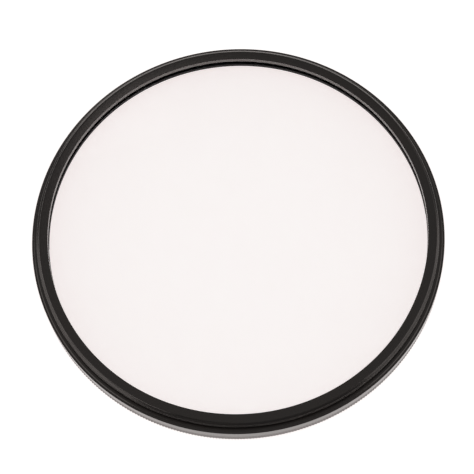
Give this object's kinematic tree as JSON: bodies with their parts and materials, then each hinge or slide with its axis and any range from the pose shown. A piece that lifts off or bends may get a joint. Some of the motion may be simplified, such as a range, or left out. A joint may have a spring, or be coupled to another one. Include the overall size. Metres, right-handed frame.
{
  "type": "screw-in lens filter",
  "caption": "Slim round screw-in lens filter: clear glass disc in a black knurled metal ring with a male lens thread at the back and a matching socket thread in front.",
  "frame": {"origin": "centre of the front face, on the surface that the filter lies on", "axes": "+Z along the optical axis, from the front rim towards the lens; X and Y across the filter"},
  "size_m": [0.0792, 0.0792, 0.006],
  "materials": {
    "anodised_frame": "satin black anodised aluminium",
    "filter_glass": "polished, coated",
    "anodised_retainer": "matt black anodised aluminium"
  },
  "bodies": {
    "root": {"filter_frame": "anodised_frame", "glass_disc": "filter_glass", "retaining_ring": "anodised_retainer"}
  },
  "joints": []
}
